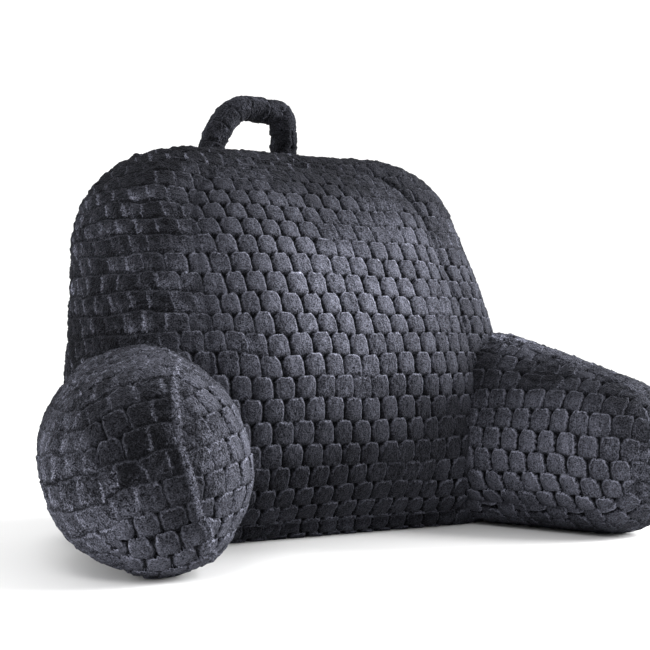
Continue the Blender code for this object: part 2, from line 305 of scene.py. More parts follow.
class Cushion:
    """A stuffed cushion in its own frame: two crowned panels, in the planes of its x and z,
    and the boxing strip that joins them along y."""

    def __init__(self, outline, rear_spread, depths, crowns, crown_shape, bulge, bulge_ease):
        self.outlines = (outline, outline * (rear_spread, 1.0))
        self.depths = depths
        self.crowns = (-crowns[0], crowns[1])
        self.crown_shape = crown_shape
        self.bulge_ease = bulge_ease
        self.middle = (outline.min(axis=0) + outline.max(axis=0)) / 2
        ahead = np.roll(outline[:-1], -1, axis=0) - np.roll(outline[:-1], 1, axis=0)
        normals = np.c_[ahead[:, 1], -ahead[:, 0]] / np.linalg.norm(ahead, axis=1)[:, None]
        self.normals = np.r_[normals, normals[:1]]
        self.bulges = bulge(self.normals, outline[:, 1])
        self.run = lengths_along(outline + self.normals * self.bulges[:, None])
        turns = np.linspace(0, math.pi, TURN_STEPS + 1)
        whole = [self.across_strip(self.run, np.full(len(self.run), turn)) for turn in turns]
        steps = np.linalg.norm(np.diff(whole, axis=0), axis=2)
        lengths = np.concatenate((np.zeros((1, len(self.run))), np.cumsum(steps, axis=0)))
        self.widths = lengths[-1]
        self.shares = lengths / self.widths

    def centre(self):
        x, z = self.middle
        return np.array((x, sum(depth(z) for depth in self.depths) / 2, z))

    def from_seam(self, seam, steps, points):
        """The distance to the seam, eased so that it has no ridge where two sides are as near."""
        found = []
        for some in np.array_split(points, max(1, len(points) // 4000)):
            squares = ((some[:, None] - seam[None]) ** 2).sum(axis=2)
            found.append((steps / np.maximum(squares, 1e-12) ** 1.5).sum(axis=1))
        return (2 / np.concatenate(found)) ** 0.5

    def panel(self, number):
        """Places points of a crowned panel's flat pattern."""
        outline = self.outlines[number]
        seam = outline[:-1]
        steps = np.hypot(*np.diff(outline, axis=0).T)
        power, ease = self.crown_shape
        most = self.from_seam(seam, steps, self.middle[None])[0]

        def place(points):
            share = np.minimum(self.from_seam(seam, steps, points) / most, 1.0)
            out = self.crowns[number] * (1 - (1 - share) ** power) ** ease
            return np.c_[points[:, 0], self.depths[number](points[:, 1]) + out, points[:, 1]]

        return place

    def strip(self, points):
        """Places points of the boxing strip's flat pattern, which measures the run along the
        seams and the way across from the middle of the strip."""
        run, across = points.T
        wanted = np.clip(across / np.interp(run, self.run, self.widths) + 0.5, 0, 1)
        place = np.interp(run, self.run, np.arange(len(self.run)))
        below = np.minimum(place.astype(int), len(self.run) - 2)
        turn = np.zeros(len(run))
        for column, weight in ((below, below + 1 - place), (below + 1, place - below)):
            shares = self.shares[:, column]
            step = np.clip((shares <= wanted).sum(axis=0) - 1, 0, TURN_STEPS - 1)
            index = np.arange(len(run))
            low = shares[step, index]
            part = (wanted - low) / (shares[step + 1, index] - low)
            turn += weight * (step + part) * math.pi / TURN_STEPS
        return self.across_strip(run, turn)

    def across_strip(self, run, turn):
        """Places points of the strip by their run and their turn, from 0 at the front seam to a
        half turn at the rear seam."""
        front, rear = (self.along(outline, run) for outline in self.outlines)
        share = ((1 - np.cos(turn)) / 2)[:, None]
        out = np.interp(run, self.run, self.bulges) * np.sin(turn) ** (2 * self.bulge_ease)
        flat = front * (1 - share) + rear * share + self.along(self.normals, run) * out[:, None]
        start = self.depths[FRONT](front[:, 1])
        depth = start + (self.depths[REAR](rear[:, 1]) - start) * share[:, 0]
        return np.c_[flat[:, 0], depth, flat[:, 1]]

    def along(self, values, run):
        """Values held at the outline's points, read at runs along the strip."""
        return np.stack([np.interp(run, self.run, column) for column in values.T], axis=1)


def lattice(low, high, step):
    """Points of an even triangular lattice over a rectangle, with their rows and columns."""
    rise = step * math.sqrt(3) / 2
    rows, columns = np.meshgrid(
        np.arange(math.floor(low[1] / rise), math.ceil(high[1] / rise) + 1),
        np.arange(math.floor(low[0] / step) - 1, math.ceil(high[0] / step) + 1),
        indexing="ij",
    )
    rows = rows.ravel()
    columns = columns.ravel()
    return np.c_[(columns + 0.5 * (rows % 2)) * step, rows * rise], rows, columns


def tree_of(points):
    tree = KDTree(len(points))
    for index, point in enumerate(points):
        tree.insert(point, index)
    tree.balance()
    return tree


def border_distances(border, points):
    """The distance from each point to the nearest point of a border, both flat."""
    tree = tree_of(np.c_[border, np.zeros(len(border))])
    return np.array([tree.find((x, y, 0.0))[2] for x, y in points])


def inside_round(outline, middle, points):
    """Whether points lie inside an outline that every ray from its middle crosses once."""
    edge = outline[:-1] - middle
    angles = np.arctan2(edge[:, 1], edge[:, 0])
    order = np.argsort(angles)
    radii = np.hypot(*edge.T)[order]
    away = points - middle
    at = np.interp(np.arctan2(away[:, 1], away[:, 0]), angles[order], radii, period=2 * math.pi)
    return np.hypot(*away.T) < at


def cloth_lengths(place, border):
    """Measures how far along the cloth points of a panel lie from the panel's middle, by their
    places on the flat pattern."""
    low, high = border.min(axis=0), border.max(axis=0)
    last = LENGTH_STEPS
    across = np.linspace(low[0], high[0], last + 1)
    up = np.linspace(low[1], high[1], last + 1)
    grid = np.stack(np.meshgrid(across, up, indexing="ij"), axis=2)
    placed = place(grid.reshape(-1, 2)).reshape(last + 1, last + 1, 3)
    tables = []
    for axis in (0, 1):
        steps = np.linalg.norm(np.diff(placed, axis=axis), axis=2)
        start = np.zeros_like(np.take(steps, [0], axis))
        total = np.concatenate((start, np.cumsum(steps, axis)), axis)
        tables.append(total - np.take(total, [last // 2], axis))

    def measure(points):
        spots = (points - low) / (high - low) * last
        cell = np.clip(np.floor(spots).astype(int), 0, last - 1)
        share = spots - cell
        values = []
        for table in tables:
            value = 0
            for i, j in np.ndindex(2, 2):
                weight = np.where((i, j), share, 1 - share)
                value = value + weight[:, 0] * weight[:, 1] * table[cell[:, 0] + i, cell[:, 1] + j]
            values.append(value)
        return np.stack(values, axis=1)

    return measure


class Cloth:
    """The cloth of one piece as it is gathered: points, triangles, and what each point knows."""

    def __init__(self):
        self.points = []
        self.faces = []
        self.cells = []
        self.seam = []
        self.crease = []
        self.face_panel = []
        self.count = 0
        self.borders = []

    def add(self, place, border, keep, pattern, step, panel, centre, seam_at):
        """Lays one cut panel: fills its flat border with points and puts them in place. Its
        functions say which points are kept, where they lie in the repeat of cells, and how far
        from the seam, given how far they are from the border."""
        inner, rows, columns = lattice(border.min(axis=0), border.max(axis=0), step)
        inner = inner[keep(inner, rows, columns)]
        distance = border_distances(border, inner)
        good = distance > CLEAR_OF_BORDER * step
        flat = np.vstack((border, inner[good]))
        edge = list(range(len(border)))
        triangles = np.array(geometry.delaunay_2d_cdt(flat.tolist(), [], [edge], 1, 1e-7)[2])
        placed = place(flat)
        a, b, c = (placed[triangles[:, i]] for i in range(3))
        facing = (np.cross(b - a, c - a) * ((a + b + c) / 3 - centre)).sum()
        if facing < 0:
            triangles = triangles[:, ::-1]
        self.points.append(placed)
        self.faces.append(triangles + self.count)
        self.face_panel.append(np.full(len(triangles), panel))
        self.cells.append(pattern(flat))
        self.crease.append(np.r_[np.zeros(len(border)), distance[good]])
        self.seam.append(seam_at(flat, self.crease[-1]))
        self.borders.append(np.arange(len(border)) + self.count)
        self.count += len(flat)

    def close(self):
        """Joins the panels along their seams."""
        for name in ("points", "faces", "face_panel", "cells", "seam", "crease"):
            setattr(self, name, np.concatenate(getattr(self, name)))
        border = np.concatenate(self.borders)
        tree = tree_of(self.points[border])
        same = np.arange(self.count)
        for index, point in enumerate(self.points[border]):
            near = min(found[1] for found in tree.find_range(point, SAME_PLACE))
            same[border[index]] = border[near]
        used = np.unique(same)
        new = np.zeros(self.count, int)
        new[used] = np.arange(len(used))
        self.faces = new[same[self.faces]]
        for name in ("points", "cells", "seam", "crease"):
            setattr(self, name, getattr(self, name)[used])
        a, b, c = self.faces.T
        whole = (a != b) & (b != c) & (c != a)
        self.faces = self.faces[whole]
        self.face_panel = self.face_panel[whole]

    def normals(self, points=None):
        """The smooth normals of the cloth, at its own points or at moved ones."""
        points = self.points if points is None else points
        a, b, c = (points[self.faces[:, i]] for i in range(3))
        face = np.cross(b - a, c - a)
        total = np.zeros_like(points)
        for axis in range(3):
            for corner in self.faces.T:
                total[:, axis] += np.bincount(corner, face[:, axis], len(total))
        return total / np.maximum(np.linalg.norm(total, axis=1), 1e-12)[:, None]


def inside_cell(side, y, crushed, least):
    """How far inside a cell a place lies, so far to a side of the cell's middle and at such a
    height, given the function for the lesser of two values."""
    lines = [(x0 - side) * face[0] + (y0 - y) * face[1] for (x0, y0), face in SLANTS]
    corners = least(least(*lines[:2]), lines[2]) + crushed * SQUARED
    sides = least(corners, CELL_SIDE - side) + crushed * CLOSED
    ends = least(CELL_TOP - y, y - CELL_FOOT) - crushed * ROWS_APART
    return least(ends, sides)


def cells_at(pattern, crushed, seed):
    """The pile at points of the pattern, in cell units: how high it stands, from 0 in the
    grooves to 1, and how open the corner between cells is."""
    chances = np.random.default_rng(seed).uniform(-1, 1, (OWN_CELLS, OWN_CELLS, 3))
    p, q = pattern.T
    lift = np.zeros(len(p))
    nearest = np.full(len(p), -9.0)
    for down in (0, 1):
        row = np.floor(q + 0.5).astype(int) + down
        shift = 0.5 * (row % 2)
        column = np.floor(p - shift + 0.5).astype(int)
        own = chances[row % OWN_CELLS, column % OWN_CELLS]
        x = p - shift - column
        y = q - row
        inside = inside_cell(np.abs(x), y, crushed, np.minimum)
        better = inside > nearest
        nearest = np.where(better, inside, nearest)
        tilt = (0.2 + 0.1 * own[:, 1]) * y + 0.16 * own[:, 2] * x
        dome = 1 - 0.7 * (x - 0.08) ** 2
        height = smooth_step(inside, -0.03, 0.075) * (1 + 0.12 * own[:, 0] + tilt) * dome
        lift = np.where(better, height, lift)
    return lift, smooth_step(-nearest, 0.0, 0.08)


def patched(points, base, patches):
    """A value that is a base all over and rises or falls within a radius of each patch."""
    value = np.full(len(points), float(base))
    for place, radii, gain in patches:
        value += gain * np.exp(-(((points - place) / radii) ** 2).sum(axis=1))
    return value


def rounded_off(cloth, normals, near):
    """How far each point near a crease moves along its normal as the cloth is smoothed."""
    points = cloth.points
    start = cloth.faces.ravel()
    end = np.roll(cloth.faces, -1, axis=1).ravel()
    used = near[start]
    start, end = start[used], end[used]
    count = np.maximum(np.bincount(start, minlength=len(points)), 1)
    moved = points.copy()
    for _ in range(EASE_ROUNDS):
        mean = np.stack(
            [np.bincount(start, moved[end, axis], len(points)) for axis in range(3)], axis=1
        ) / count[:, None]
        move = ((mean - moved) * normals).sum(axis=1) * near
        moved += normals * move[:, None]
    return ((moved - points) * normals).sum(axis=1)


def eased(cloth, normals, keep_all, keep_left):
    """How far each point moves outwards as the stuffing rounds the creases at the seams."""
    keep = keep_all + keep_left * smooth_step(-cloth.points[:, 0], *LEFT_FROM)
    ease = (1 - smooth_step(cloth.crease, EASE_FROM, SEAM_EASE)) * (1 - keep)
    ease *= smooth_step(cloth.points[:, 2], *EASE_HEIGHTS)
    return rounded_off(cloth, normals, cloth.crease < 2 * SEAM_EASE) * ease


def pile_height(cloth, pattern, crushed, near_seam, looks, seed):
    """How far the pile stands off the cloth at each point."""
    lift, opening = cells_at(pattern, crushed, seed)
    pile = PILE * lift * (1 - (1 - CRUSHED_PILE) * crushed) * (1 - looks["parting"] * near_seam)
    rough = wander(cloth.points, LUMPS, seed, crushed)
    seam = looks["seam"] * near_seam * (1 + wander(cloth.points, SEAM_WANDER, seed))
    return pile + rough - GROOVE - GAP * opening * (1 - 0.5 * crushed) + seam


def dress(cloth, looks, seed):
    """Raises the pile on a closed cloth. Returns its points, and what the plush shows there."""
    points = cloth.points
    normals = cloth.normals()
    crushed = patched(points, *looks["crushed"]) + wander(points, CRUSHED_WANDER, seed)
    crushed = np.clip(crushed, 0, 1)
    bend = [wander(points, noises, seed, crushed) for noises in PATTERN_WANDER]
    pattern = cloth.cells + np.stack(bend, axis=1)
    # the nap's paleness carries painted light and shade from the pale patches
    nap_and_painted_light = patched(points, *looks["pale"]) + wander(points, NAP_WANDER, seed, crushed)
    near_seam = 1 - smooth_step(cloth.seam, *SEAM_REACH)
    height = pile_height(cloth, pattern, crushed, near_seam, looks, seed)
    height += eased(cloth, normals, *looks["keep_crease"])
    raised = points + normals * height[:, None]
    raised[:, 2] = np.maximum(raised[:, 2], FLOOR_LIFT)
    return raised, {
        "pattern": np.c_[pattern, np.zeros(len(points))],
        "crushed": crushed,
        "nap_and_painted_light": np.clip(nap_and_painted_light, *NAP_AND_LIGHT_RANGE),
        "ridge": near_seam * (looks["seam"] > 0),
    }


def new_object(name, data):
    thing = bpy.data.objects.new(name, data)
    bpy.context.scene.collection.objects.link(thing)
    return thing


def new_mesh(name, points, faces, values, normals):
    """A mesh of the points that its faces use, shaded by the whole cloth's normals."""
    used, faces = np.unique(faces, return_inverse=True)
    data = bpy.data.meshes.new(name)
    data.from_pydata(points[used].tolist(), [], faces.reshape(-1, 3).tolist())
    data.shade_smooth()
    data.normals_split_custom_set_from_vertices(normals[used].tolist())
    for key, value in values.items():
        kind, field = ("FLOAT", "value") if value.ndim == 1 else ("FLOAT_VECTOR", "vector")
        carried = data.attributes.new(key, kind, "POINT")
        carried.data.foreach_set(field, value[used].astype(np.float32).ravel())
    return new_object(name, data)


def add_panel(cloth, cushion, panel, step, seam_inset):
    """Lays the front or the rear of a cushion. Returns how far along the cloth its outline lies
    from its middle."""
    outline = cushion.outlines[panel]
    place = cushion.panel(panel)
    border = outline[:-1]
    measure = cloth_lengths(place, border)

    def inside(inner, rows, columns):
        return inside_round(outline, cushion.middle, inner)

    def cells(flat):
        return measure(flat) / (CELL, ROW) + FRONT_PHASE

    def off_seam(flat, distance):
        return distance + seam_inset

    cloth.add(place, border, inside, cells, step, panel, cushion.centre(), off_seam)
    return measure(outline)


def strip_border(cushion, step):
    """The outline of the boxing strip's flat pattern."""
    half = cushion.widths[0] / 2
    across = np.linspace(-half, half, round(2 * half / step) + 1)[1:-1]
    return np.vstack((
        np.c_[cushion.run, -cushion.widths / 2],
        np.c_[np.full(len(across), cushion.run[-1]), across],
        np.c_[cushion.run, cushion.widths / 2][::-1],
        np.c_[np.zeros(len(across)), across[::-1]],
    ))


def add_strip(cloth, cushion, start, step, side_up, seam_inset):
    """Lays the strip of a cushion. Start is how far along the front's cloth its outline lies."""

    def keep(inner, rows, columns):
        """The strip's underside needs few points."""
        normal = cushion.along(cushion.normals, inner[:, 0])
        across = inner[:, 1] / np.interp(inner[:, 0], cushion.run, cushion.widths)
        under = (normal[:, 1] < -0.9) & (abs(across) < 0.3)
        clear = (abs(across) < 0.5) & (inner[:, 0] > 0) & (inner[:, 0] < cushion.run[-1])
        return clear & (~under | ((rows % 4 == 0) & (columns % 4 == 0)))

    def past_front(flat):
        """How far across the strip each point lies from the front's border."""
        return flat[:, 1] + np.interp(flat[:, 0], cushion.run, cushion.widths) / 2

    def past_seam(flat):
        """And from the front's seam."""
        return past_front(flat) - seam_inset * (1 - smooth_step(flat[:, 0], *RIDGE_TURNS))

    def go_on(flat):
        """The front's cells go on over its border, away from the outline."""
        out = cushion.along(cushion.normals, flat[:, 0]) * past_front(flat)[:, None]
        return (cushion.along(start, flat[:, 0]) + out) / (CELL, ROW) + FRONT_PHASE

    def cells(flat):
        if side_up is None:
            return go_on(flat)
        return np.where((past_seam(flat) < 0)[:, None], go_on(flat), side_up(flat))

    def off_seam(flat, distance):
        return np.abs(past_seam(flat)) if seam_inset else distance

    border = strip_border(cushion, step)
    cloth.add(cushion.strip, border, keep, cells, step, STRIP, cushion.centre(), off_seam)


def cushion_cloth(cushion, steps, side_up=None, seam_inset=0.0):
    """The cloth of a cushion: the front, the rear and the strip. The strip's cells follow
    side_up, or else go on from the front's. The front's seam lies inset round the strip."""
    cloth = Cloth()
    start = add_panel(cloth, cushion, FRONT, steps[FRONT], seam_inset)
    add_panel(cloth, cushion, REAR, steps[REAR], seam_inset)
    add_strip(cloth, cushion, start, steps[STRIP], side_up, seam_inset)
    cloth.close()
    return cloth


def front_depth(z):
    lean = FRONT_LEAN * np.maximum(z - FRONT_LEAN_FROM, 0) ** FRONT_LEAN_POWER
    return FRONT_Y + lean + FOOT_CURL * np.maximum(FOOT_CURL_FROM - z, 0) ** 2


def rear_depth(z):
    return REAR_AT_FOOT + REAR_LEAN * z - REAR_CURL * np.maximum(z - REAR_CURL_FROM, 0) ** 2


def back_cloth():
    outline = rounded_outline(
        (
            (0.0, BACK_FOOT),
            (BACK_HALF_FOOT, BACK_FOOT),
            (BACK_HALF_TOP, BACK_TOP),
            (-BACK_HALF_TOP, BACK_TOP),
            (-BACK_HALF_FOOT, BACK_FOOT),
        ),
        BACK_RADII,
        BACK_STEP,
    )

    def bulge(normals, z):
        side = SIDE_BULGE + SIDE_BULGE_TAPER * (1 - z / SIDE_BULGE_MIDDLE)
        ends = np.where(normals[:, 1] > 0, TOP_BULGE, FOOT_BULGE)
        return normals[:, 0] ** 2 * side + normals[:, 1] ** 2 * ends

    cushion = Cushion(
        outline,
        REAR_SPREAD,
        (front_depth, rear_depth),
        (FRONT_CROWN, REAR_CROWN),
        BACK_CROWN_SHAPE,
        bulge,
        BACK_BULGE_EASE,
    )
    return cushion_cloth(cushion, (FRONT_STEP, REAR_STEP, STRIP_STEP))


def arm_cloth(side, root_height, nose_height, roll):
    outline = rounded_outline(
        (
            (ARM_LENGTH / 3, ARM_FOOT),
            (ARM_LENGTH, ARM_FOOT),
            (ARM_LENGTH, nose_height),
            (-ARM_REACH_BACK, root_height),
            (-ARM_REACH_BACK, ARM_FOOT),
        ),
        ARM_RADII,
        ARM_STEP,
    )
    cushion = Cushion(
        outline,
        1.0,
        (lambda z: -ARM_STRIP / 2 + 0 * z, lambda z: ARM_STRIP / 2 + 0 * z),
        (ARM_INNER_CROWN, ARM_OUTER_CROWN),
        ARM_CROWN_SHAPE,
        lambda normals, z: np.where(normals[:, 1] < ARM_UNDERSIDE, ARM_FOOT_BULGE, ARM_BULGE),
        ARM_BULGE_EASE,
    )
    cloth = cushion_cloth(
        cushion,
        (ARM_STEP, ARM_OUTER_STEP, ARM_STEP),
        lambda flat: flat[:, ::-1] / (CELL, ROW),
        RIDGE_INSET if side < 0 else 0.0,
    )
    along, across, z = cloth.points.T
    z = z - ARM_ROLL_HEIGHT
    out = side * (across * math.cos(roll) + z * math.sin(roll))
    up = ARM_ROLL_HEIGHT - across * math.sin(roll) + z * math.cos(roll)
    if side < 0:
        cloth.faces = cloth.faces[:, ::-1]
    turn = -math.pi / 2 + side * ARM_SPLAY
    x = side * ARM_ROOT_X + along * math.cos(turn) - out * math.sin(turn)
    y = ARM_ROOT_Y + along * math.sin(turn) + out * math.cos(turn)
    cloth.points = np.c_[x, y, up]
    return cloth


def keep_off(points, solid, gap):
    """Pushes points that are in or near a solid out to a gap from its face."""
    moved = points.copy()
    for index, point in enumerate(points):
        near, normal, _, _ = solid.find_nearest(Vector(point), 0.12)
        if near is None:
            continue
        away = (Vector(point) - near).dot(normal)
        if away < gap:
            moved[index] = near + normal * gap
    moved[:, 2] = np.maximum(moved[:, 2], FLOOR_LIFT)
    return moved


def smooth_path(route, step):
    """Points about a step apart on a smooth curve through a route, and how far along it."""
    route = np.array(route)
    knots = lengths_along(route)
    stops = np.linspace(0, knots[-1], round(knots[-1] / step) + 1)
    slopes = np.gradient(route, knots, axis=0)
    place = np.clip(np.searchsorted(knots, stops, "right") - 1, 0, len(knots) - 2)
    gap = np.diff(knots)[place][:, None]
    share = (stops - knots[place])[:, None] / gap
    path = (
        (2 * share ** 3 - 3 * share ** 2 + 1) * route[place]
        + (share ** 3 - 2 * share ** 2 + share) * gap * slopes[place]
        + (3 * share ** 2 - 2 * share ** 3) * route[place + 1]
        + (share ** 3 - share ** 2) * gap * slopes[place + 1]
    )
    return path, stops


def tube_faces(rings, around):
    """The triangles of a tube of rings of points, closed by two last points at its ends."""
    index = np.arange(rings * around).reshape(rings, around)
    after = np.roll(index, -1, axis=1)
    low, right, high, left = (part.ravel() for part in (index[:-1], after[:-1], after[1:], index[1:]))
    first, last = index.size, index.size + 1
    return np.vstack((
        np.c_[low, high, right],
        np.c_[low, left, high],
        np.c_[index[0], after[0], np.full(around, first)],
        np.c_[after[-1], index[-1], np.full(around, last)],
    ))


def handle_cloth():
    """The stuffed strap of the carry handle, a tube that is wider from front to back."""
    path, stops = smooth_path(HANDLE_ROUTE, HANDLE_STEP)
    ahead = np.gradient(path, axis=0)
    ahead /= np.linalg.norm(ahead, axis=1)[:, None]
    around = round(math.pi * (HANDLE_THICK + HANDLE_WIDE) / 2 / HANDLE_STEP)
    angles = np.arange(around) * 2 * math.pi / around
    out = HANDLE_THICK / 2 * np.cos(angles)
    depth = HANDLE_Y + HANDLE_WIDE / 2 * np.sin(angles)
    rings = [np.c_[x - dz * out, depth, z + dx * out] for (x, z), (dx, dz) in zip(path, ahead)]
    ends = [[rings[0].mean(axis=0)], [rings[-1].mean(axis=0)]]
    cloth = Cloth()
    cloth.points = np.vstack(rings + ends)
    cloth.faces = tube_faces(len(path), around)
    run = np.repeat(stops, around)
    across = np.tile(angles / (2 * math.pi) * round(around * HANDLE_STEP / CELL), len(path))
    cloth.cells = np.vstack((np.c_[across, run / ROW], ((0, 0), (0, 0))))
    cloth.seam = np.full(len(cloth.points), 1.0)
    cloth.crease = cloth.seam
    return cloth


def cover(name, node, points, faces, values, normals, material):
    piece = new_mesh(name, points, faces, values, normals)
    piece.data.materials.append(material)
    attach(piece, "root")
    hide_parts(node)


# How each cushion's plush lies: how pale its nap is, its patches painting light and shade, and how
# crushed its pile, each as a value all over and patches of (place, radii, gain), how high its seam
# stands, how far the pile parts there, and how sharp its creases stay, all over and besides that on
# the left
BACK_LOOKS = {
    # The pale patches paint light and shade: paler on the middle and the right of the front, where
    # the light falls, darker on the top, on the low front and on its low right, in the right arm's
    # shadow
    "pale": (0.56, (
        ((-0.03, -0.06, 0.28), (0.14, 0.2, 0.12), 1.08),
        ((0.12, -0.05, 0.30), (0.06, 0.2, 0.08), 0.35),
        ((-0.05, 0.08, 0.455), (0.40, 0.15, 0.07), -0.4),
        ((-0.20, 0.08, 0.42), (0.10, 0.15, 0.06), -0.15),
        ((-0.04, -0.06, 0.07), (0.14, 0.2, 0.065), -0.3),
        ((0.10, -0.07, 0.16), (0.08, 0.2, 0.07), -0.4),
    )),
    "crushed": (0.0, (
        ((-0.28, 0.08, 0.25), (0.11, 0.18, 0.4), 0.95),
        ((-0.05, 0.12, 0.47), (0.4, 0.16, 0.06), 0.6),
        ((0.29, 0.12, 0.25), (0.10, 0.18, 0.4), 0.5),
        ((0.0, 0.25, 0.25), (0.4, 0.05, 0.4), 0.3),
    )),
    "seam": -0.3 * SEAM_DEPTH,
    "parting": 0.7,
    "keep_crease": (0.0, 0.35),
}
# The arms' pale patches, too, paint light and shade: darker on the near arm's nose and the far arm's
# top, paler low down
ARM_LOOKS = {
    "arm_left": {
        "pale": (0.8, (
            ((-0.33, -0.14, 0.215), (0.09, 0.1, 0.03), 0.25),
            ((-0.335, -0.24, 0.135), (0.05, 0.08, 0.06), -0.65),
            ((-0.30, -0.25, 0.085), (0.03, 0.08, 0.045), -0.5),
            ((-0.36, -0.21, 0.045), (0.07, 0.1, 0.06), 0.9),
            ((-0.39, -0.14, 0.12), (0.02, 0.07, 0.06), 0.35),
            ((-0.25, -0.22, 0.13), (0.045, 0.06, 0.09), 0.45),
        )),
        "crushed": (0.55, (
            ((-0.24, -0.22, 0.12), (0.045, 0.07, 0.09), -0.4),
            ((-0.33, -0.22, 0.03), (0.09, 0.09, 0.05), -0.4),
        )),
        "seam": RIDGE,
        "parting": 0.7,
        "keep_crease": (0.0, 0.0),
    },
    "arm_right": {
        "pale": (0.8, (
            ((0.24, -0.12, 0.185), (0.12, 0.2, 0.035), -0.55),
            ((0.26, -0.05, 0.24), (0.07, 0.06, 0.02), 0.6),
            ((0.29, -0.12, 0.22), (0.07, 0.06, 0.02), 0.6),
            ((0.31, -0.19, 0.19), (0.06, 0.06, 0.02), 0.6),
            ((0.20, -0.15, 0.095), (0.06, 0.08, 0.05), 1.0),
            ((0.25, -0.24, 0.14), (0.03, 0.03, 0.05), -0.25),
        )),
        "crushed": (0.28, (
            ((0.20, -0.15, 0.10), (0.08, 0.10, 0.06), -0.25),
            ((0.26, -0.06, 0.235), (0.09, 0.08, 0.025), 0.5),
            ((0.31, -0.19, 0.19), (0.06, 0.08, 0.025), 0.5),
        )),
        "seam": 0.0,
        "parting": 0.2,
        "keep_crease": (0.15, 0.0),
    },
}
HANDLE_LOOKS = {
    "pale": (0.9, (
        ((-0.01, 0.21, 0.555), (0.045, 0.05, 0.014), 0.7),
    )),
    "crushed": (0.45, ()),
    "seam": 0.0,
    "parting": 0.0,
    "keep_crease": (1.0, 0.0),
}


def main():
    plush = plush_material("Plush", 1.0)
    strap = plush_material("Strap plush", STRAP_BRIGHTNESS)

    cloth = back_cloth()
    points, values = dress(cloth, BACK_LOOKS, BACK_SEED)
    normals = cloth.normals(points)
    for panel, name in enumerate(("back_front_cover", "back_rear_cover", "back_side_cover")):
        faces = cloth.faces[cloth.face_panel == panel]
        cover(name, "back_cushion", points, faces, values, normals, plush)
    solid = BVHTree.FromPolygons(points.tolist(), cloth.faces.tolist())
    for name, side, *form in ARMS:
        cloth = arm_cloth(side, *form)
        points, values = dress(cloth, ARM_LOOKS[name], ARM_SEED + side)
        points = keep_off(points, solid, GAP_TO_BACK)
        normals = cloth.normals(points)
        cover(name + "_cover", name, points, cloth.faces, values, normals, plush)
    cloth = handle_cloth()
    points, values = dress(cloth, HANDLE_LOOKS, HANDLE_SEED)
    points = keep_off(points, solid, GAP_TO_BACK)
    normals = cloth.normals(points)
    cover("handle_cover", "carry_handle", points, cloth.faces, values, normals, strap)


def smooth_range(tree, socket, reach, ends):
    """Goes smoothly from the first end to the last as a socket's value goes through a reach."""
    node = tree.nodes.new("ShaderNodeMapRange")
    node.interpolation_type = "SMOOTHSTEP"
    tree.links.new(socket, node.inputs["Value"])
    for key, value in zip(("From Min", "From Max", "To Min", "To Max"), (*reach, *ends)):
        node.inputs[key].default_value = value
    return node.outputs["Result"]


def feed(tree, node, values):
    """Gives values to a node's inputs, in their order."""
    for socket, value in zip(node.inputs, values):
        if isinstance(value, Value):
            tree.links.new(value.socket, socket)
        else:
            socket.default_value = value


class Value:
    """A socket of a material's nodes that can stand in a formula."""

    def __init__(self, tree, socket):
        self.tree = tree
        self.socket = socket

    def math(self, operation, *others):
        node = self.tree.nodes.new("ShaderNodeMath")
        node.operation = operation
        feed(self.tree, node, (self, *others))
        return Value(self.tree, node.outputs[0])

    __add__ = __radd__ = partialmethod(math, "ADD")
    __sub__ = partialmethod(math, "SUBTRACT")
    __mul__ = __rmul__ = partialmethod(math, "MULTIPLY")
    floor = partialmethod(math, "FLOOR")
    abs = partialmethod(math, "ABSOLUTE")
    least = partialmethod(math, "MINIMUM")
    most = partialmethod(math, "MAXIMUM")

    def __rsub__(self, other):
        return self * -1 + other

    def rise(self, low, high):
        """From 0 to 1 as this goes smoothly from low to high, or from 1 to 0 where high is less."""
        reach = (min(low, high), max(low, high))
        ends = (float(high < low), float(low < high))
        return Value(self.tree, smooth_range(self.tree, self.socket, reach, ends))

    def pick(self, low, high):
        """Goes from low to high as this goes from 0 to 1."""
        return low + (high - low) * self


def join(tree, *values):
    """Three values as a vector."""
    node = tree.nodes.new("ShaderNodeCombineXYZ")
    feed(tree, node, values)
    return node.outputs["Vector"]


